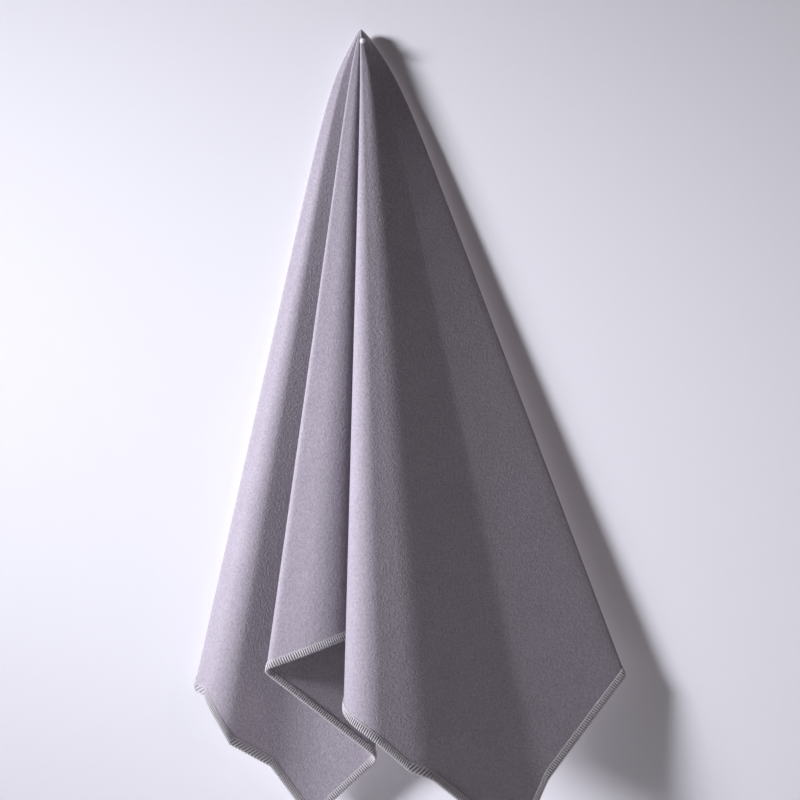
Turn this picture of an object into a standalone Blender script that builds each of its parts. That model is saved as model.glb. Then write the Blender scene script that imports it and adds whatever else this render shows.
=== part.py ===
"""A quick dry towel that hangs in folds from one ball-headed pin.

The towel is one cut of thin cloth with an overlocked edge all round: each run of overlock is an upper looper
thread on the face, a lower looper thread on the back and a needle thread along their inner border. A pin goes
through the gathered cloth close to the middle of one long edge, and the towel can swing on it.

The frame: X to the right, +Y into the wall, +Z up, with the origin where the pin's axis meets the wall.
The cloth is a cone of folds. Its apex is the point of the top edge that sits just above the pin, and each line of
the cloth runs straight down from there. At each drop below the apex the cloth is a belt round a row of rollers,
the folds, so the same few numbers give the folds at every height.
"""

from math import atan2, cos, hypot, pi, radians, sin
from typing import NamedTuple

import bmesh
import bpy
import numpy as np

# The towel as it is cut, in metres.
TOWEL_LENGTH = 0.800
TOWEL_WIDTH = 0.400
CLOTH_THICKNESS = 0.0008

# How it is pinned.
APEX_FROM_LEFT_END = 0.389
APEX_ABOVE_PIN = 0.010
APEX_LEFT_OF_PIN = 0.0014
LEFT_FLAP = 0.256  # the free stretch behind, per metre of drop, before the first fold
RIGHT_FLAP = 0.572  # and the one after the last fold
GATHER_LENGTH = 0.026  # the drop over which the gathered folds open sideways
BUNDLE_DROP = 0.012  # above this drop the folds stay as tight as they are there
PINCH_RADIUS = 0.0009  # the tightest that the cloth folds


class Fold(NamedTuple):
    """One fold, seen as a roller: its place and radius grow with the drop, and the pinch is its place at the pin."""

    name: str
    spread: float  # to the right, per metre of drop
    stand_off: float  # out from the wall, per metre of drop
    roll: float  # radius, per metre of drop
    turn: int  # +1 turns the cloth anticlockwise seen from above with the wall below, -1 clockwise
    pinch_x: float
    pinch_off: float


FOLDS = (
    Fold("back flap fold", 0.100, 0.0155, 0.009, -1, 0.0070, 0.0017),
    Fold("left side", -0.203, 0.0300, 0.019, -1, -0.0136, 0.0024),
    Fold("left front", -0.178, 0.0300, 0.043, -1, -0.0095, 0.0039),
    Fold("left hollow", -0.030, 0.2440, 0.215, 1, -0.0058, 0.00485),
    Fold("left valley", 0.017, 0.0380, 0.010, 1, -0.0034, 0.0059),
    Fold("left pleat edge", -0.1245, 0.1170, 0.011, -1, -0.0030, 0.0080),
    Fold("left pleat front", -0.076, 0.0330, 0.100, -1, -0.0015, 0.0084),
    Fold("middle valley", 0.044, 0.0460, 0.008, 1, 0.0032, 0.0062),
    Fold("first inner fold", 0.183, 0.0420, 0.007, 1, 0.0076, 0.0062),
    Fold("second inner fold", 0.038, 0.0570, 0.007, -1, 0.0046, 0.0080),
    Fold("third inner fold", 0.136, 0.0730, 0.007, 1, 0.0062, 0.0096),
    Fold("fourth inner fold", 0.004, 0.0900, 0.007, -1, 0.0035, 0.0116),
    Fold("fifth inner fold", 0.089, 0.1100, 0.008, 1, 0.0048, 0.0128),
    Fold("middle roll", 0.012, 0.1516, 0.0367, -1, 0.0015, 0.0152),
    Fold("right shoulder", -0.012, -0.0160, 0.200, -1, 0.0050, 0.0153),
    Fold("right hollow", 0.300, 0.2700, 0.200, 1, 0.0110, 0.0105),
    Fold("right side", 0.371, 0.0290, 0.006, -1, 0.0140, 0.0047),
)

# The overlocked edge.
BAND_WIDTH = 0.0042
THREAD_THICKNESS = 0.0003
THREAD_CLEARANCE = 0.0003
NEEDLE_LINE_WIDTH = 0.0004
TOP_EDGE_START = 0.148  # where the top edge's bands come clear of the gathered cloth

# The pin.
PIN_HEAD_RADIUS = 0.0020
PIN_NEEDLE_RADIUS = 0.0004
PIN_NEEDLE_IN_WALL = 0.0100
PIN_POINT_LENGTH = 0.0030
PIN_CLEARANCE = 0.0003
PIN_HEAD_SOCKET = 0.0022

# How finely the solids are cut.
LINES_PER_FOLD = 6
DROPS = (0.0, BUNDLE_DROP, 0.018, 0.026, 0.038, 0.056, 0.085, 0.140)
FINE_STEPS = 60
FRONT_SAMPLES = 400
FAR_DROP = 100.0  # far enough below the pin for the pinch not to matter
NO_ANGLE = 1e-9
HOLE_FRONT, HOLE_BACK = -0.05, 0.01  # the pin hole's cutter, clear of the cloth on both sides

CLOTH_COLOUR = (0.52, 0.48, 0.55, 1.0)
THREAD_COLOUR = (0.60, 0.59, 0.61, 1.0)
HEAD_COLOUR = (0.85, 0.85, 0.87, 1.0)
STEEL_COLOUR = (0.62, 0.62, 0.64, 1.0)


# ---- The folded cloth ----


def section(drop):
    """Each fold's centre, radius and the headings of the flat stretches round them, at one drop."""
    held = max(drop, BUNDLE_DROP)
    opened = 1 - np.exp(-held / GATHER_LENGTH)
    centres = [(f.spread * held + f.pinch_x * opened, f.stand_off * held + f.pinch_off) for f in FOLDS]
    radii = [hypot(f.roll * held, PINCH_RADIUS) for f in FOLDS]
    headings = [0.0]
    for i in range(len(FOLDS) - 1):
        dx = centres[i + 1][0] - centres[i][0]
        dy = centres[i + 1][1] - centres[i][1]
        lean = (FOLDS[i].turn * radii[i] - FOLDS[i + 1].turn * radii[i + 1]) / hypot(dx, dy)
        headings.append(atan2(dy, dx) + np.arcsin(lean))
    headings.append(pi)
    return centres, radii, headings


def rim(centre, radius, turn, heading):
    """The point of a roller that a cloth with this heading touches."""
    return np.array(centre) + turn * radius * np.array((sin(heading), -cos(heading)))


def place(line, drop):
    """The cloth's (x, out from the wall) on one line at one drop, and its heading there.

    Lines are numbered along the section: 2k to 2k + 1 goes round fold k, and 2k + 1 to 2k + 2 is the flat stretch
    to fold k + 1. The left flap is -1 to 0 and the right flap ends at 2 len(FOLDS).
    """
    centres, radii, headings = section(drop)
    k = min(int(line // 2), len(FOLDS) - 1)
    share = line - 2 * k
    if share <= 1 and k >= 0:
        turn = FOLDS[k].turn
        swept = (turn * (headings[k + 1] - headings[k])) % (2 * pi)
        heading = headings[k] + turn * swept * share
        return rim(centres[k], radii[k], turn, heading), heading
    heading = headings[k + 1]
    flap = np.array((cos(heading), sin(heading))) * max(drop, BUNDLE_DROP)
    if k < 0:
        finish = rim(centres[0], radii[0], FOLDS[0].turn, heading)
        start = finish - LEFT_FLAP * flap
    elif k == len(FOLDS) - 1:
        start = rim(centres[k], radii[k], FOLDS[k].turn, heading)
        finish = start + RIGHT_FLAP * flap
    else:
        start = rim(centres[k], radii[k], FOLDS[k].turn, heading)
        finish = rim(centres[k + 1], radii[k + 1], FOLDS[k + 1].turn, heading)
    return start + (share - 1) * (finish - start), heading


def directions(lines):
    """Each line's slope far from the pin: (right, out from the wall) per metre of drop."""
    return np.array([place(line, FAR_DROP)[0] / FAR_DROP for line in lines])


def cloth_angles(lines):
    """The angle on the flat cloth from the left half of the top edge to each line, which adds up to a half turn."""
    slopes = directions(lines)
    rays = np.column_stack([slopes, -np.ones(len(lines))])
    rays /= np.linalg.norm(rays, axis=1)[:, None]
    steps = np.arccos(np.clip((rays[1:] * rays[:-1]).sum(axis=1), -1, 1))
    angles = np.concatenate([[0.0], np.cumsum(steps)])
    return angles * pi / angles[-1]


def reach(angle, inset=0.0):
    """How far from the apex a line at this angle meets the cut edge, or a line that far inside it."""
    left = APEX_FROM_LEFT_END - inset
    right = TOWEL_LENGTH - APEX_FROM_LEFT_END - inset
    low = TOWEL_WIDTH - inset
    found = [low / sin(angle)] if sin(angle) > NO_ANGLE else []
    if cos(angle) > NO_ANGLE:
        found.append(left / cos(angle))
    if cos(angle) < -NO_ANGLE:
        found.append(-right / cos(angle))
    return min(found)


class Lines:
    """The lines that the cloth and its bands are cut along, and where each lies on the flat cloth."""

    def __init__(self):
        last = 2 * len(FOLDS)
        fine = np.linspace(-1, last, FINE_STEPS * (last + 1) + 1)
        angles = cloth_angles(fine)
        self.left_corner = atan2(TOWEL_WIDTH, APEX_FROM_LEFT_END)
        self.right_corner = pi - atan2(TOWEL_WIDTH, TOWEL_LENGTH - APEX_FROM_LEFT_END)
        self.mitre = THREAD_CLEARANCE / hypot(TOWEL_WIDTH, APEX_FROM_LEFT_END)
        band = BAND_WIDTH + THREAD_CLEARANCE + NEEDLE_LINE_WIDTH + THREAD_CLEARANCE
        self.left_top = band / APEX_FROM_LEFT_END
        self.right_top = pi - band / (TOWEL_LENGTH - APEX_FROM_LEFT_END)
        wanted = [self.left_top, self.right_top]
        for corner in (self.left_corner, self.right_corner):
            wanted += [corner - self.mitre, corner, corner + self.mitre]
        kept = [-1.0, float(last)] + [float(np.interp(angle, angles, fine)) for angle in wanted]
        for k in range(len(FOLDS)):
            kept += [2 * k + i / LINES_PER_FOLD for i in range(LINES_PER_FOLD + 1)]
        self.at = np.array(sorted(set(kept)))
        self.angle = np.interp(self.at, fine, angles)
        slopes = directions(self.at)
        self.stretch = np.sqrt(1 + (slopes**2).sum(axis=1))

    def between(self, low, high):
        """The numbers of the lines from one cloth angle to another."""
        return [i for i, angle in enumerate(self.angle) if low - NO_ANGLE <= angle <= high + NO_ANGLE]


def cloth_point(line, drop, lift=0.0):
    """A point of the cloth's middle surface in the part's frame, lifted off it towards its face."""
    (x, off), heading = place(line, drop)
    slope_x, slope_off = directions([line])[0]
    face = np.array((-sin(heading), cos(heading), slope_off * cos(heading) - slope_x * sin(heading)))
    point = np.array((x - APEX_LEFT_OF_PIN, off, APEX_ABOVE_PIN - drop)) + lift * face / np.linalg.norm(face)
    return point[0], -point[1], point[2]


# ---- Making objects ----


def material(name, colour, roughness, metallic=0.0):
    made = bpy.data.materials.new(name)
    made.use_nodes = True
    shader = made.node_tree.nodes["Principled BSDF"]
    shader.inputs["Base Color"].default_value = colour
    shader.inputs["Roughness"].default_value = roughness
    shader.inputs["Metallic"].default_value = metallic
    return made


def object_of(shape, name, finish, collection):
    """A scene object from a finished bmesh."""
    mesh = bpy.data.meshes.new(name)
    shape.to_mesh(mesh)
    shape.free()
    mesh.materials.append(finish)
    made = bpy.data.objects.new(name, mesh)
    collection.objects.link(made)
    return made


def cut(target, cutter):
    change = target.modifiers.new("cut by " + cutter.name, "BOOLEAN")
    change.operation = "DIFFERENCE"
    change.solver = "EXACT"
    change.object = cutter


def cylinder_along_y(name, radius, y_low, y_high, finish, collection):
    """A closed cylinder round the pin's axis."""
    shape = bmesh.new()
    bmesh.ops.create_cone(
        shape, cap_ends=True, segments=16, radius1=radius, radius2=radius, depth=y_high - y_low
    )
    made = object_of(shape, name, finish, collection)
    made.rotation_euler = (radians(90), 0, 0)
    made.location = (0, (y_low + y_high) / 2, 0)
    return made


# ---- The towel ----


def make_cloth(lines, finish, collection):
    """A flat grid whose points are moved to the folds, given its thickness by Solidify."""
    shape = bmesh.new()
    columns, rows = len(lines.at), len(DROPS) + 1
    bmesh.ops.create_grid(shape, x_segments=columns - 1, y_segments=rows - 1, size=1.0)
    for vertex in shape.verts:
        i = round((1 + vertex.co.x) / 2 * (columns - 1))
        j = round((1 - vertex.co.y) / 2 * (rows - 1))
        hem = reach(lines.angle[i]) / lines.stretch[i]
        vertex.co = cloth_point(lines.at[i], DROPS[j] if j < len(DROPS) else hem)
    made = object_of(shape, "cloth", finish, collection)
    wall = made.modifiers.new("thickness", "SOLIDIFY")
    wall.thickness = CLOTH_THICKNESS
    wall.offset = 0
    return made


def sweep(sections, name, finish, collection):
    """A closed bar through matching outlines, as a loft between them."""
    shape = bmesh.new()
    rings = [[shape.verts.new(point) for point in outline] for outline in sections]
    size = len(rings[0])
    for ring, following in zip(rings, rings[1:]):
        for i in range(size):
            j = (i + 1) % size
            shape.faces.new((ring[i], ring[j], following[j], following[i]))
    shape.faces.new(rings[0])
    shape.faces.new(rings[-1])
    bmesh.ops.recalc_face_normals(shape, faces=shape.faces)
    return object_of(shape, name, finish, collection)


def thread_outlines():
    """Each thread of an overlocked edge as an outline of (distance in from the cut edge, height off the middle)."""
    inner = CLOTH_THICKNESS / 2 + THREAD_CLEARANCE
    outer = inner + THREAD_THICKNESS
    wrap = -THREAD_CLEARANCE - THREAD_THICKNESS
    meet = THREAD_CLEARANCE / 2
    line_start = BAND_WIDTH + THREAD_CLEARANCE
    line_end = line_start + NEEDLE_LINE_WIDTH
    upper = [
        (BAND_WIDTH, inner),
        (BAND_WIDTH, outer),
        (wrap, outer),
        (wrap, meet),
        (-THREAD_CLEARANCE, meet),
        (-THREAD_CLEARANCE, inner),
    ]
    lower = [(inset, -height) for inset, height in upper]
    needle = [(line_start, inner), (line_end, inner), (line_end, outer), (line_start, outer)]
    return {"upper_looper": upper, "lower_looper": lower, "needle_thread": needle}


def make_hem(lines, edge, low, high, finish, collection):
    """The three threads along an edge that crosses the lines, between two cloth angles."""
    for thread, outline in thread_outlines().items():
        sections = []
        for i in lines.between(low, high):
            drops = [edge_reach(edge, lines.angle[i], inset) / lines.stretch[i] for inset, _ in outline]
            sections.append(
                [cloth_point(lines.at[i], drop, lift) for drop, (_, lift) in zip(drops, outline)]
            )
        sweep(sections, f"{edge}_edge_{thread}", finish, collection)


def edge_reach(edge, angle, inset):
    """How far from the apex a line meets one edge of the towel, or a line that far inside it."""
    if edge == "bottom":
        return (TOWEL_WIDTH - inset) / sin(angle)
    if edge == "left_end":
        return (APEX_FROM_LEFT_END - inset) / cos(angle)
    return -(TOWEL_LENGTH - APEX_FROM_LEFT_END - inset) / cos(angle)


def make_top_hem(lines, side, finish, collection):
    """The three threads along one half of the top edge, which lies flat on one of the flaps behind."""
    corner = APEX_FROM_LEFT_END if side == "left" else TOWEL_LENGTH - APEX_FROM_LEFT_END
    flap = lines.at[:2] if side == "left" else lines.at[-1:-3:-1]
    turned = lines.left_top if side == "left" else pi - lines.right_top
    for thread, outline in thread_outlines().items():
        sections = []
        for along in (TOP_EDGE_START, corner):
            points = []
            for inset, lift in outline:
                line = flap[0] + (flap[1] - flap[0]) * atan2(inset, along) / turned
                stretch = np.sqrt(1 + (directions([line]) ** 2).sum())
                points.append(cloth_point(line, hypot(along, inset) / stretch, lift))
            sections.append(points)
        sweep(sections, f"top_edge_{side}_{thread}", finish, collection)


# ---- The pin ----


def bundle_front():
    """How far the gathered cloth stands out from the wall at the pin."""
    lines = np.linspace(0, 2 * len(FOLDS) - 1, FRONT_SAMPLES)
    offs = [place(line, BUNDLE_DROP)[0][1] for line in lines]
    return max(offs) + CLOTH_THICKNESS / 2


def make_pin(white, steel, collection, cutters):
    front = bundle_front()
    head_y = -(front + PIN_CLEARANCE + PIN_HEAD_RADIUS)
    ball = bmesh.new()
    bmesh.ops.create_uvsphere(ball, u_segments=20, v_segments=12, radius=PIN_HEAD_RADIUS)
    head = object_of(ball, "pin_head", white, collection)
    head.location = (0, head_y, 0)
    head.data.shade_smooth()
    socket_end = head_y + PIN_HEAD_RADIUS - PIN_HEAD_SOCKET
    socket_radius = PIN_NEEDLE_RADIUS + PIN_CLEARANCE
    socket = cylinder_along_y(
        "head_socket", socket_radius, socket_end, head_y + 2 * PIN_HEAD_RADIUS, white, cutters
    )
    cut(head, socket)
    start = socket_end + PIN_CLEARANCE
    profile = bmesh.new()
    outline = [
        (0, PIN_NEEDLE_IN_WALL),
        (PIN_NEEDLE_RADIUS, PIN_NEEDLE_IN_WALL - PIN_POINT_LENGTH),
        (PIN_NEEDLE_RADIUS, start),
        (0, start),
    ]
    points = [profile.verts.new((radius, 0, along)) for radius, along in outline]
    for first, second in zip(points, points[1:]):
        profile.edges.new((first, second))
    needle = object_of(profile, "pin_needle", steel, collection)
    needle.rotation_euler = (radians(-90), 0, 0)
    turned = needle.modifiers.new("turned", "SCREW")
    turned.steps = turned.render_steps = 16
    turned.use_merge_vertices = True
    turned.merge_threshold = 0.00001


def main():
    for leftover in list(bpy.data.objects):
        bpy.data.objects.remove(leftover)
    towel = bpy.data.collections.new("quick_dry_towel")
    cutters = bpy.data.collections.new("cutters")
    for collection in (towel, cutters):
        bpy.context.scene.collection.children.link(collection)

    microfibre = material("suede microfibre", CLOTH_COLOUR, 0.9)
    polyester = material("textured polyester thread", THREAD_COLOUR, 0.7)
    white = material("white pearl plastic", HEAD_COLOUR, 0.25)
    steel = material("polished steel wire", STEEL_COLOUR, 0.3, 1.0)

    lines = Lines()
    cloth = make_cloth(lines, microfibre, towel)
    pin_hole = cylinder_along_y(
        "pin_hole", PIN_NEEDLE_RADIUS + PIN_CLEARANCE, HOLE_FRONT, HOLE_BACK, microfibre, cutters
    )
    cut(cloth, pin_hole)
    make_hem(lines, "left_end", lines.left_top, lines.left_corner - lines.mitre, polyester, towel)
    make_hem(
        lines, "bottom", lines.left_corner + lines.mitre, lines.right_corner - lines.mitre, polyester, towel
    )
    make_hem(lines, "right_end", lines.right_corner + lines.mitre, lines.right_top, polyester, towel)
    for side in ("left", "right"):
        make_top_hem(lines, side, polyester, towel)
    make_pin(white, steel, towel, cutters)

    for cutter in cutters.objects:
        cutter.hide_render = True
        cutter.display_type = "WIRE"


main()
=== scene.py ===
"""The looks of a quick dry towel: suede microfibre cloth in deep folds, overlocked all round, on a ball-headed pin.

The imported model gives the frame: X to the right, +Y into the wall, +Z up, and the origin where the pin meets the
wall. The fold plan below is the part's own, so the fine cloth lies where the plain folded sheet is.
"""

from typing import NamedTuple

import bmesh
import bpy
import numpy as np
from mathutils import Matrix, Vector


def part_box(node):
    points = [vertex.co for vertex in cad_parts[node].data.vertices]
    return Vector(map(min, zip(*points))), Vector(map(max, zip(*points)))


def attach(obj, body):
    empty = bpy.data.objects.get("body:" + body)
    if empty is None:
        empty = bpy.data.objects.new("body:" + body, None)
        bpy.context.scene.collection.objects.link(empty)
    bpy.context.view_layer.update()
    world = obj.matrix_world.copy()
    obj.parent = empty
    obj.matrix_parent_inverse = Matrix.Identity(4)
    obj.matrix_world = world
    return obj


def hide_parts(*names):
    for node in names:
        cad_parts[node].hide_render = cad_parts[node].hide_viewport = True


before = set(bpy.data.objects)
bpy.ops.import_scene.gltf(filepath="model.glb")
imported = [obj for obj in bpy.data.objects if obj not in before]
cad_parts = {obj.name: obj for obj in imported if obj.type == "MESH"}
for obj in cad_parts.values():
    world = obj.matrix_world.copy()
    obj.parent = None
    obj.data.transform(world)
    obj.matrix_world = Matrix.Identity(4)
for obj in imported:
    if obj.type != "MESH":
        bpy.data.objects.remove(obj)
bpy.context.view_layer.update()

MM = 0.001

# The towel as it is cut, and how it hangs, as in the part's own source.
TOWEL_LENGTH = 0.800
TOWEL_WIDTH = 0.400
CLOTH_THICKNESS = 0.0008
APEX_FROM_LEFT_END = 0.389
APEX_ABOVE_PIN = 0.010
APEX_LEFT_OF_PIN = 0.0014
LEFT_FLAP = 0.256
RIGHT_FLAP = 0.572
GATHER_LENGTH = 0.026
PINCH_RADIUS = 0.0009

# The gather at the pin, which only the looks have: the folds close to a point at the top edge.
GATHER_DROP = 0.030
GATHER_POWER = 0.80
TIP_DROP = 0.010
TIP_DEPTH = 0.35
BUNDLE_MIDDLE = 0.0100


class Fold(NamedTuple):
    """A fold as a roller: place and radius grow with the drop below the apex, and the pinch is its place there."""

    name: str
    spread: float
    stand_off: float
    roll: float
    turn: int
    pinch_x: float
    pinch_off: float


FOLDS = (
    Fold("back flap fold", 0.100, 0.0155, 0.009, -1, 0.0070, 0.0017),
    Fold("left side", -0.203, 0.0300, 0.019, -1, -0.0136, 0.0024),
    Fold("left front", -0.178, 0.0300, 0.043, -1, -0.0095, 0.0039),
    Fold("left hollow", -0.030, 0.2440, 0.215, 1, -0.0058, 0.00485),
    Fold("left valley", 0.017, 0.0380, 0.010, 1, -0.0034, 0.0059),
    Fold("left pleat edge", -0.1245, 0.1170, 0.011, -1, -0.0030, 0.0080),
    Fold("left pleat front", -0.076, 0.0330, 0.100, -1, -0.0015, 0.0084),
    Fold("middle valley", 0.044, 0.0460, 0.008, 1, 0.0032, 0.0062),
    Fold("first inner fold", 0.183, 0.0420, 0.007, 1, 0.0076, 0.0062),
    Fold("second inner fold", 0.038, 0.0570, 0.007, -1, 0.0046, 0.0080),
    Fold("third inner fold", 0.136, 0.0730, 0.007, 1, 0.0062, 0.0096),
    Fold("fourth inner fold", 0.004, 0.0900, 0.007, -1, 0.0035, 0.0116),
    Fold("fifth inner fold", 0.089, 0.1100, 0.008, 1, 0.0048, 0.0128),
    Fold("middle roll", 0.012, 0.1516, 0.0367, -1, 0.0015, 0.0152),
    Fold("right shoulder", -0.012, -0.0160, 0.200, -1, 0.0050, 0.0153),
    Fold("right hollow", 0.300, 0.2700, 0.200, 1, 0.0110, 0.0105),
    Fold("right side", 0.371, 0.0290, 0.006, -1, 0.0140, 0.0047),
)
LAST_LINE = 2 * len(FOLDS)

# The overlocked edge.
STITCH_PITCH = 1.7 * MM
LOOPER_RADIUS = 0.36 * MM
NEEDLE_THREAD_RADIUS = 0.22 * MM
TOP_EDGE_START = 0.060  # from the apex, where the top edge comes clear of the gather

# The pin's head: how far out its flat reaches, as a share of its radius.
HEAD_FLAT = 0.92

# How finely the cloth is cut.
LINES_PER_ROLL = 10
LINES_PER_FLAT = 7
LINES_PER_FLAP = 10
ROWS_TO_HEM = 104
ROW_CROWDING = 1.35  # above 1 the rows crowd towards the apex
FINE_STEPS = 60
HEM_INSETS = (0.0, 1.2 * MM, 2.6 * MM, 4.0 * MM, 4.8 * MM, 5.8 * MM, 7.5 * MM, 10.0 * MM)
FAR_DROP = 100.0  # far enough below the pin for the pinch not to matter
SMALL_LINE, SMALL_DROP = 1e-3, 1e-4  # the steps that the cloth's normals are measured over
TINY = 1e-9

# What the lamps are aimed at. The camera looks straight at the wall, level with the middle of the towel.
TOWEL_MIDDLE = Vector((0.03, -0.03, -0.28))
CAMERA_DISTANCE = 1.600
VIEW_CENTRE_X = 0.0262
VIEW_CENTRE_Z = -0.2516
VIEW_WIDTH = 0.5682

# The stage: a floor below the towel and a wall just behind it.
FLOOR_HEIGHT, FLOOR_SIZE = -0.75, 8.0
WALL_DEPTH, WALL_MIDDLE, WALL_SIZE = 0.0005, 1.0, 3.5
ROOM_LIGHT = 0.02


# ---- The folded cloth ----


def fold_values(key):
    return np.array([getattr(fold, key) for fold in FOLDS])


def place(line, drop):
    """The cloth's x, its distance out from the wall and its heading, on each line at each drop.

    Lines are numbered along the section: 2k to 2k + 1 goes round fold k, and 2k + 1 to 2k + 2 is the flat stretch
    to fold k + 1. The left flap is -1 to 0 and the right flap ends at LAST_LINE.
    """
    line, drop = np.broadcast_arrays(np.asarray(line, float), np.asarray(drop, float))
    shape = line.shape
    line, drop = line.reshape(-1), drop.reshape(-1)
    turns = fold_values("turn")
    opened = 1 - np.exp(-drop / GATHER_LENGTH)
    x = np.outer(drop, fold_values("spread")) + np.outer(opened, fold_values("pinch_x"))
    off = np.outer(drop, fold_values("stand_off")) + fold_values("pinch_off")
    radius = np.hypot(np.outer(drop, fold_values("roll")), PINCH_RADIUS)
    dx, doff = np.diff(x, axis=1), np.diff(off, axis=1)
    lean = (turns[:-1] * radius[:, :-1] - turns[1:] * radius[:, 1:]) / np.hypot(dx, doff)
    between = np.arctan2(doff, dx) + np.arcsin(np.clip(lean, -1, 1))
    ends = np.zeros((len(drop), 1))
    headings = np.hstack([ends, between, ends + np.pi])

    rows = np.arange(len(drop))
    k = np.clip(np.floor(line / 2).astype(int), -1, len(FOLDS) - 1)
    share = line - 2 * k
    here = np.maximum(k, 0)
    following = np.minimum(k + 1, len(FOLDS) - 1)

    def rim(fold, heading):
        reach_out = turns[fold] * radius[rows, fold]
        return x[rows, fold] + reach_out * np.sin(heading), off[rows, fold] - reach_out * np.cos(heading)

    swept = np.mod(turns[here] * (headings[rows, here + 1] - headings[rows, here]), 2 * np.pi)
    turning = headings[rows, here] + turns[here] * swept * share
    straight = headings[rows, k + 1]
    start_x, start_off = rim(here, straight)
    finish_x, finish_off = rim(following, straight)
    first, last = k < 0, k == len(FOLDS) - 1
    start_x = np.where(first, finish_x - LEFT_FLAP * drop * np.cos(straight), start_x)
    start_off = np.where(first, finish_off - LEFT_FLAP * drop * np.sin(straight), start_off)
    finish_x = np.where(last, start_x + RIGHT_FLAP * drop * np.cos(straight), finish_x)
    finish_off = np.where(last, start_off + RIGHT_FLAP * drop * np.sin(straight), finish_off)
    flat_x = start_x + (share - 1) * (finish_x - start_x)
    flat_off = start_off + (share - 1) * (finish_off - start_off)

    rolling = (share <= 1) & ~first
    roll_x, roll_off = rim(here, turning)
    found_x = np.where(rolling, roll_x, flat_x)
    found_off = np.where(rolling, roll_off, flat_off)
    heading = np.where(rolling, turning, straight)
    return found_x.reshape(shape), found_off.reshape(shape), heading.reshape(shape)


def direction(line):
    """Each line's slope far from the pin: right and out from the wall, per metre of drop."""
    x, off, _ = place(line, FAR_DROP)
    return x / FAR_DROP, off / FAR_DROP


FINE_LINES = np.linspace(-1, LAST_LINE, FINE_STEPS * (LAST_LINE + 1) + 1)


def angles_of_lines():
    """The angle on the flat cloth from the left half of the top edge to each line: a half turn in all."""
    x, off = direction(FINE_LINES)
    rays = np.column_stack([x, off, -np.ones(len(x))])
    rays /= np.linalg.norm(rays, axis=1)[:, None]
    steps = np.arccos(np.clip((rays[1:] * rays[:-1]).sum(axis=1), -1, 1))
    angles = np.concatenate([[0.0], np.cumsum(steps)])
    return angles * np.pi / angles[-1]


FINE_ANGLES = angles_of_lines()


def stretch_of(line):
    """How much longer a line is than its drop."""
    x, off = direction(line)
    return np.sqrt(1 + x**2 + off**2)


def gathered(drop):
    """How far the folds have closed sideways at this drop: 1 where they hang free, 0 at the apex."""
    return np.minimum(drop / GATHER_DROP, 1) ** GATHER_POWER


def middle_surface(line, drop):
    """The cloth's middle surface in the frame, as an array of points."""
    held = np.maximum(drop, GATHER_DROP)
    x, off, _ = place(line, held)
    near_x, near_off, _ = place(line, np.maximum(drop, TIP_DROP))
    x = np.where(drop < GATHER_DROP, x * gathered(drop), x)
    off = np.where(drop < GATHER_DROP, near_off, off)
    tip = TIP_DEPTH + (1 - TIP_DEPTH) * np.clip(drop / TIP_DROP, 0, 1)
    off = BUNDLE_MIDDLE + (off - BUNDLE_MIDDLE) * tip
    return np.stack([x - APEX_LEFT_OF_PIN, -off, APEX_ABOVE_PIN - drop], axis=-1)


def with_normals(line, drop):
    """Points of the middle surface and the unit normals on the cloth's face."""
    inner = np.clip(line, -1 + SMALL_LINE, LAST_LINE - SMALL_LINE)
    across = middle_surface(inner + SMALL_LINE, drop) - middle_surface(inner - SMALL_LINE, drop)
    down = middle_surface(line, drop + SMALL_DROP) - middle_surface(line, drop)
    normal = np.cross(down, across)
    normal /= np.linalg.norm(normal, axis=-1, keepdims=True)
    return middle_surface(line, drop), normal


def reach(angle, inset=0.0):
    """How far from the apex a line at this angle meets the cut edge, or a line that far inside it."""
    low = (TOWEL_WIDTH - inset) / np.maximum(np.sin(angle), TINY)
    left = (APEX_FROM_LEFT_END - inset) / np.maximum(np.cos(angle), TINY)
    right = (TOWEL_LENGTH - APEX_FROM_LEFT_END - inset) / np.maximum(-np.cos(angle), TINY)
    return np.minimum(low, np.minimum(left, right))


def on_cloth(along, down, lift):
    """Points over the flat cloth, along from the apex and down from the top edge, lifted towards its face."""
    angle = np.clip(np.arctan2(down, -along), 0, np.pi)
    line = np.interp(angle, FINE_ANGLES, FINE_LINES)
    points, normals = with_normals(line, np.hypot(along, down) / stretch_of(line))
    return points + lift[..., None] * normals


# ---- Node helpers ----


def linear(hex_colour):
    """A linear RGBA colour from an sRGB hex value."""
    channels = [int(hex_colour[i : i + 2], 16) / 255 for i in (1, 3, 5)]
    return (*[c / 12.92 if c <= 0.04045 else ((c + 0.055) / 1.055) ** 2.4 for c in channels], 1.0)


def add_node(tree, kind, settings=None, **inputs):
    """Adds a node with its settings, and sets or links its inputs.

    Inputs are named with underscores for spaces, or numbered as i6, where a node has several of one name.
    """
    node = tree.nodes.new(kind)
    for key, value in (settings or {}).items():
        setattr(node, key, value)
    for key, value in inputs.items():
        numbered = key[0] == "i" and key[1:].isdigit()
        socket = node.inputs[int(key[1:]) if numbered else key.replace("_", " ")]
        if isinstance(value, bpy.types.NodeSocket):
            tree.links.new(value, socket)
        else:
            socket.default_value = value
    return node


def new_material(name):
    made = bpy.data.materials.new(name)
    made.use_nodes = True
    made.node_tree.nodes.clear()
    return made, made.node_tree


def finish_material(tree, shader):
    add_node(tree, "ShaderNodeOutputMaterial", Surface=shader.outputs[0])


# ---- Materials ----


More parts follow.
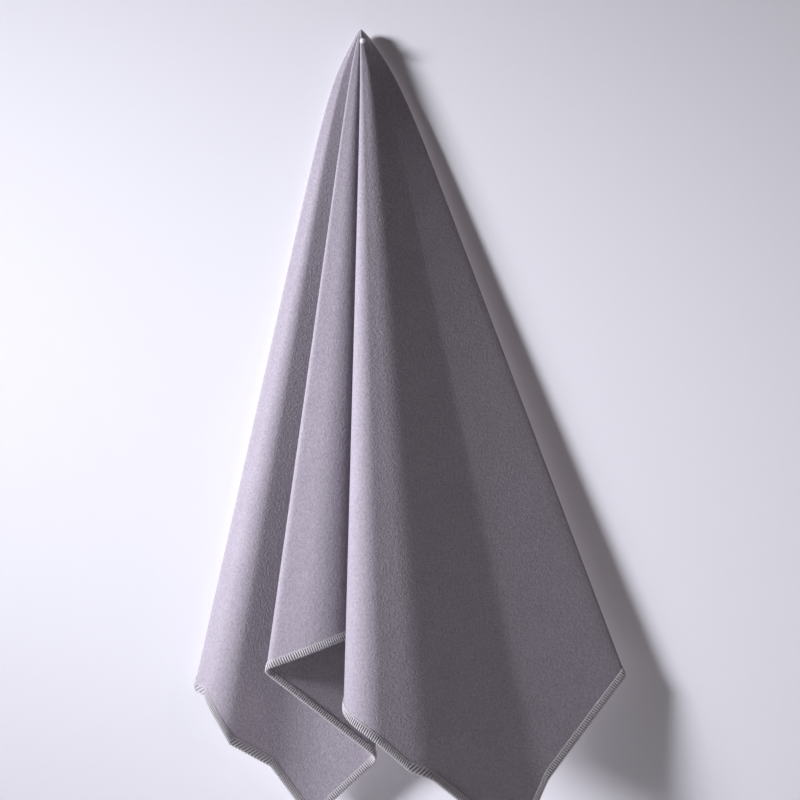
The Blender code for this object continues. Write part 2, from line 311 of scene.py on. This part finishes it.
def suede_microfibre():
    """Suede-brushed polyester microfibre: a short dense nap over a fine pebbled knit.

    The nap makes it matt and lifts its brightness at grazing angles, and brushing leaves faint clouds of shade.
    The real pebble is under a millimetre and a fibre about 0.01 mm: both are drawn coarser, 1.5 and 0.45 mm, to show.
    """
    made, tree = new_material("suede brushed microfibre")
    where = add_node(tree, "ShaderNodeTexCoord")
    pebble = add_node(
        tree, "ShaderNodeTexNoise", Vector=where.outputs["Object"], Scale=1 / (1.5 * MM), Detail=3.0, Roughness=0.7
    )
    fibre = add_node(
        tree, "ShaderNodeTexNoise", Vector=where.outputs["Object"], Scale=1 / (0.45 * MM), Detail=1.0
    )
    cloud = add_node(
        tree, "ShaderNodeTexNoise", Vector=where.outputs["Object"], Scale=1 / (28 * MM), Detail=3.0, Roughness=0.55
    )
    grain = add_node(
        tree, "ShaderNodeMix", {"data_type": "RGBA"},
        Factor=pebble.outputs["Fac"], i6=linear("#827A82"), i7=linear("#CBC3CC"),
    )
    brushed = add_node(
        tree, "ShaderNodeMix", {"data_type": "RGBA", "blend_type": "MULTIPLY"},
        Factor=0.12, i6=grain.outputs[2], i7=cloud.outputs["Fac"],
    )
    bumps = add_node(tree, "ShaderNodeBump", Strength=0.9, Distance=0.5 * MM, Height=pebble.outputs["Fac"])
    bumps = add_node(
        tree, "ShaderNodeBump", Strength=0.25, Distance=0.15 * MM, Height=fibre.outputs["Fac"],
        Normal=bumps.outputs[0],
    )
    shader = add_node(
        tree, "ShaderNodeBsdfPrincipled", Base_Color=brushed.outputs[2], Roughness=0.92,
        Sheen_Weight=0.12, Sheen_Roughness=0.45, Normal=bumps.outputs[0],
    )
    shader.inputs["Specular IOR Level"].default_value = 0.2
    shader.inputs["Sheen Tint"].default_value = linear("#E6E0EA")
    finish_material(tree, shader)
    return made


def overlock_thread():
    """Textured polyester thread: soft, hairy filament that spreads to cover the edge.

    Its fluff is far finer than the 0.35 mm it is drawn at to show.
    """
    made, tree = new_material("textured polyester thread")
    where = add_node(tree, "ShaderNodeTexCoord")
    fluff = add_node(
        tree, "ShaderNodeTexNoise", Vector=where.outputs["Object"], Scale=1 / (0.35 * MM), Detail=2.0
    )
    shade = add_node(
        tree, "ShaderNodeMix", {"data_type": "RGBA"},
        Factor=fluff.outputs["Fac"], i6=linear("#ADA8A9"), i7=linear("#DDD9DA"),
    )
    bumps = add_node(tree, "ShaderNodeBump", Strength=0.4, Distance=0.1 * MM, Height=fluff.outputs["Fac"])
    shader = add_node(
        tree, "ShaderNodeBsdfPrincipled", Base_Color=shade.outputs[2], Roughness=0.75,
        Sheen_Weight=0.2, Sheen_Roughness=0.5, Normal=bumps.outputs[0],
    )
    finish_material(tree, shader)
    return made


def pearl_plastic():
    """Moulded polystyrene with a pearl lacquer: a smooth, bright bead with a faint swirl in it."""
    made, tree = new_material("pearl lacquered plastic")
    where = add_node(tree, "ShaderNodeTexCoord")
    swirl = add_node(tree, "ShaderNodeTexNoise", Vector=where.outputs["Object"], Scale=1 / (2.5 * MM), Detail=1.0)
    shade = add_node(
        tree, "ShaderNodeMix", {"data_type": "RGBA"},
        Factor=swirl.outputs["Fac"], i6=linear("#DEDCE2"), i7=linear("#F4F3F6"),
    )
    shader = add_node(
        tree, "ShaderNodeBsdfPrincipled", Base_Color=shade.outputs[2], Roughness=0.22,
        Coat_Weight=0.6, Coat_Roughness=0.08,
    )
    finish_material(tree, shader)
    return made


def polished_needle():
    """Drawn and polished steel wire: bright, with faint lines along it from the drawing.

    The lines are drawn at 0.1 mm, coarser than real ones, to show.
    """
    made, tree = new_material("polished steel wire")
    where = add_node(tree, "ShaderNodeTexCoord")
    along = add_node(tree, "ShaderNodeMapping", Vector=where.outputs["Object"], Scale=(1, 0.05, 1))
    lines = add_node(tree, "ShaderNodeTexNoise", Vector=along.outputs[0], Scale=1 / (0.1 * MM), Detail=1.0)
    rough = add_node(tree, "ShaderNodeMapRange", Value=lines.outputs["Fac"], To_Min=0.18, To_Max=0.34)
    shader = add_node(
        tree, "ShaderNodeBsdfPrincipled", Base_Color=linear("#C9C9CC"), Metallic=1.0, Roughness=rough.outputs[0]
    )
    finish_material(tree, shader)
    return made


# ---- Making pieces ----


def link_piece(mesh, name, material, node, body="towel"):
    """A finished mesh as a piece that stands for a node and rides with its body."""
    mesh.materials.clear()
    mesh.materials.append(material)
    mesh.shade_smooth()
    piece = bpy.data.objects.new(name, mesh)
    bpy.context.scene.collection.objects.link(piece)
    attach(piece, body)
    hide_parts(node)
    return piece


def cloth_lines():
    """The lines that the cloth is cut along, with the towel's two lower corners among them."""
    steps = [-1 + i / LINES_PER_FLAP for i in range(LINES_PER_FLAP)]
    for k in range(len(FOLDS)):
        steps += [2 * k + i / LINES_PER_ROLL for i in range(LINES_PER_ROLL)]
        flat = LINES_PER_FLAT if k < len(FOLDS) - 1 else LINES_PER_FLAP
        steps += [2 * k + 1 + i / flat for i in range(flat)]
    steps.append(float(LAST_LINE))
    left_corner = np.arctan2(TOWEL_WIDTH, APEX_FROM_LEFT_END)
    right_corner = np.pi - np.arctan2(TOWEL_WIDTH, TOWEL_LENGTH - APEX_FROM_LEFT_END)
    steps += list(np.interp([left_corner, right_corner], FINE_ANGLES, FINE_LINES))
    return np.array(sorted(steps))


def make_cloth(material):
    """A flat grid moved to the folds, with its flat place kept as UVs and its thickness from Solidify."""
    lines = cloth_lines()
    angles = np.interp(lines, FINE_LINES, FINE_ANGLES)
    stretch = stretch_of(lines)
    start = reach(angles, HEM_INSETS[-1])
    shares = (np.arange(1, ROWS_TO_HEM + 1) / (ROWS_TO_HEM + 1)) ** ROW_CROWDING
    rows = [start * share for share in shares]
    rows += [reach(angles, inset) for inset in reversed(HEM_INSETS)]
    away = np.array(rows)
    drops = away / stretch
    points = middle_surface(np.broadcast_to(lines, drops.shape), drops)

    columns, count = len(lines), len(rows)
    shape = bmesh.new()
    bmesh.ops.create_grid(shape, x_segments=columns - 1, y_segments=count - 1, size=1.0)
    flat = shape.loops.layers.uv.new("flat cloth")
    for vertex in shape.verts:
        i = round((1 + vertex.co.x) / 2 * (columns - 1))
        j = round((1 - vertex.co.y) / 2 * (count - 1))
        vertex.co = points[j, i]
        for loop in vertex.link_loops:
            loop[flat].uv = (-away[j, i] * np.cos(angles[i]), away[j, i] * np.sin(angles[i]))
    mesh = bpy.data.meshes.new("suede_cloth")
    shape.to_mesh(mesh)
    shape.free()
    cloth = link_piece(mesh, "suede_cloth", material, "cloth")
    wall = cloth.modifiers.new("thickness", "SOLIDIFY")
    wall.thickness = CLOTH_THICKNESS
    wall.offset = 0
    return cloth


def edge_frame(edge):
    """An edge's start and end on the flat cloth, and the direction in from the edge."""
    left, right = -APEX_FROM_LEFT_END, TOWEL_LENGTH - APEX_FROM_LEFT_END
    return {
        "left_end_edge": ((left, 0.0), (left, TOWEL_WIDTH), (1, 0)),
        "bottom_edge": ((left, TOWEL_WIDTH), (right, TOWEL_WIDTH), (0, -1)),
        "right_end_edge": ((right, TOWEL_WIDTH), (right, 0.0), (-1, 0)),
        "top_edge_right": ((right, 0.0), (TOP_EDGE_START, 0.0), (0, 1)),
        "top_edge_left": ((-TOP_EDGE_START, 0.0), (left, 0.0), (0, 1)),
    }[edge]


# One stitch of each thread: shares of the pitch along the edge, millimetres in from it, and millimetres of lift.
UPPER_LOOPER = (
    (0.26, 4.3, 0.45),
    (0.31, 3.2, 0.80),
    (0.37, 1.6, 0.86),
    (0.44, 0.1, 0.74),
    (0.48, -0.45, 0.10),
    (0.62, -0.45, 0.10),
    (0.66, 0.1, 0.74),
    (0.59, 1.6, 0.84),
    (0.53, 3.2, 0.78),
    (0.48, 4.2, 0.45),
)
LOWER_LOOPER = (
    (0.46, -0.40, -0.15),
    (0.42, 0.5, -0.78),
    (0.36, 2.2, -0.84),
    (0.28, 4.0, -0.72),
    (0.42, 4.4, -0.55),
    (0.54, 4.0, -0.72),
    (0.58, 2.2, -0.84),
    (0.62, 0.5, -0.78),
)
NEEDLE_THREAD = (
    (0.06, 4.75, 0.30),
    (0.20, 4.70, 0.62),
    (0.50, 4.65, 0.70),
    (0.80, 4.70, 0.62),
    (0.94, 4.75, 0.30),
)


def make_thread(edge, thread, stitch, radius, material):
    """One thread of an overlocked edge, as a continuous tube through every stitch."""
    start, end, inward = (np.array(value, float) for value in edge_frame(edge))
    length = np.linalg.norm(end - start)
    count = int(length / STITCH_PITCH)
    pitch = length / count
    share, inset, lift = np.array(stitch).T
    along = (np.arange(count)[:, None] + share[None, :]) * pitch
    flat = start + along[..., None] * (end - start) / length + inset[:, None] * MM * inward
    points = on_cloth(flat[..., 0], flat[..., 1], np.broadcast_to(lift * MM, along.shape)).reshape(-1, 3)
    curve = bpy.data.curves.new(thread, "CURVE")
    curve.dimensions = "3D"
    curve.bevel_depth = radius
    curve.bevel_resolution = 1
    curve.use_fill_caps = True
    spline = curve.splines.new("POLY")
    spline.points.add(len(points) - 1)
    spline.points.foreach_set("co", np.column_stack([points, np.ones(len(points))]).ravel())
    holder = bpy.data.objects.new("thread route", curve)
    bpy.context.scene.collection.objects.link(holder)
    bpy.context.view_layer.update()
    mesh = bpy.data.meshes.new_from_object(holder.evaluated_get(bpy.context.evaluated_depsgraph_get()))
    bpy.data.objects.remove(holder)
    node = f"{edge}_{thread}"
    return link_piece(mesh, f"stitched_{node}", material, node)


def make_edges(material):
    """Every run of overlock: an upper looper on the face, a lower looper on the back, and the needle thread."""
    threads = (
        ("upper_looper", UPPER_LOOPER, LOOPER_RADIUS),
        ("lower_looper", LOWER_LOOPER, LOOPER_RADIUS),
        ("needle_thread", NEEDLE_THREAD, NEEDLE_THREAD_RADIUS),
    )
    edges = ("left_end_edge", "bottom_edge", "right_end_edge", "top_edge_right", "top_edge_left")
    return [make_thread(edge, *thread, material) for edge in edges for thread in threads]


def make_pin_head(material):
    """A moulded bead: a sphere flattened a little where the needle enters it."""
    low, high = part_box("pin_head")
    middle = (low + high) / 2
    radius = (high.x - low.x) / 2
    shape = bmesh.new()
    bmesh.ops.create_icosphere(shape, subdivisions=4, radius=radius)
    for vertex in shape.verts:
        vertex.co.y = min(vertex.co.y, HEAD_FLAT * radius)
        vertex.co += middle
    mesh = bpy.data.meshes.new("pearl_pin_head")
    shape.to_mesh(mesh)
    shape.free()
    return link_piece(mesh, "pearl_pin_head", material, "pin_head", body="pin")


# ---- Stage, lights and camera ----


def floor_finish():
    """Matt floor paint, plain and pale."""
    made, tree = new_material("pale floor paint")
    shader = add_node(tree, "ShaderNodeBsdfPrincipled", Base_Color=linear("#E9E7EA"), Roughness=0.8)
    finish_material(tree, shader)
    return made


def wall_finish():
    """Matt white paint on the wall's front. Its back is open, so that the towel's back can be looked at too."""
    made, tree = new_material("matt wall paint")
    paint = add_node(tree, "ShaderNodeBsdfPrincipled", Base_Color=linear("#F2F1F3"), Roughness=0.9)
    side = add_node(tree, "ShaderNodeNewGeometry")
    nothing = add_node(tree, "ShaderNodeBsdfTransparent")
    shown = add_node(
        tree, "ShaderNodeMixShader", Fac=side.outputs["Backfacing"], i1=paint.outputs[0], i2=nothing.outputs[0]
    )
    finish_material(tree, shown)
    return made


def make_panel(name, finish, location, turn, size):
    shape = bmesh.new()
    bmesh.ops.create_grid(shape, x_segments=1, y_segments=1, size=size / 2)
    mesh = bpy.data.meshes.new(name)
    shape.to_mesh(mesh)
    shape.free()
    mesh.materials.append(finish)
    panel = bpy.data.objects.new(name, mesh)
    panel.rotation_euler = turn
    panel.location = location
    bpy.context.scene.collection.objects.link(panel)
    return panel


def make_stage():
    """A pale floor, and a wall that casts no shadow, so that the lamp behind it reaches the towel's back."""
    make_panel("stage_floor", floor_finish(), (0, 0, FLOOR_HEIGHT), (0, 0, 0), FLOOR_SIZE)
    wall = make_panel("stage_wall", wall_finish(), (0, WALL_DEPTH, WALL_MIDDLE), (np.pi / 2, 0, 0), WALL_SIZE)
    wall.visible_shadow = False


def add_light(name, location, size, spread, power, colour):
    """A round lamp aimed at the towel: size in metres, spread in degrees, power in watts."""
    light = bpy.data.lights.new(name, "AREA")
    light.shape = "DISK"
    light.size = size
    light.spread = np.radians(spread)
    light.energy = power
    light.color = linear(colour)[:3]
    holder = bpy.data.objects.new(name, light)
    holder.location = location
    holder.rotation_euler = (TOWEL_MIDDLE - Vector(location)).to_track_quat("-Z", "Y").to_euler()
    bpy.context.scene.collection.objects.link(holder)


def make_lights():
    """A soft cool lamp on the left, a small weak one from the right and little light from the room.

    Each lamp is shaded to a cone round the towel, so that the floor and the walls throw little light back.
    """
    add_light("key", (-1.87, -1.08, 0.30), 0.55, 40, 4.9, "#F3F4FF")
    add_light("right lamp", (1.20, -1.45, -0.15), 0.05, 60, 0.13, "#FFE4E6")
    add_light("back lamp", (0.6, 2.2, 0.7), 1.0, 40, 3, "#FFFFFF")
    world = bpy.data.worlds.new("pale room")
    world.use_nodes = True
    background = world.node_tree.nodes["Background"]
    background.inputs["Color"].default_value = linear("#F4EDF0")
    background.inputs["Strength"].default_value = ROOM_LIGHT
    bpy.context.scene.world = world


def make_camera():
    camera = bpy.data.cameras.new("camera")
    camera.sensor_width = 36
    camera.lens = camera.sensor_width * CAMERA_DISTANCE / VIEW_WIDTH
    holder = bpy.data.objects.new("camera", camera)
    holder.location = (VIEW_CENTRE_X, -CAMERA_DISTANCE, VIEW_CENTRE_Z)
    holder.rotation_euler = (np.pi / 2, 0, 0)
    bpy.context.scene.collection.objects.link(holder)
    bpy.context.scene.camera = holder


def main():
    cloth = make_cloth(suede_microfibre())
    threads = make_edges(overlock_thread())
    make_pin_head(pearl_plastic())
    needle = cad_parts["pin_needle"]
    needle.data.materials.clear()
    needle.data.materials.append(polished_needle())
    make_stage()
    make_lights()
    make_camera()
    bpy.context.scene.view_settings.view_transform = "Standard"


main()
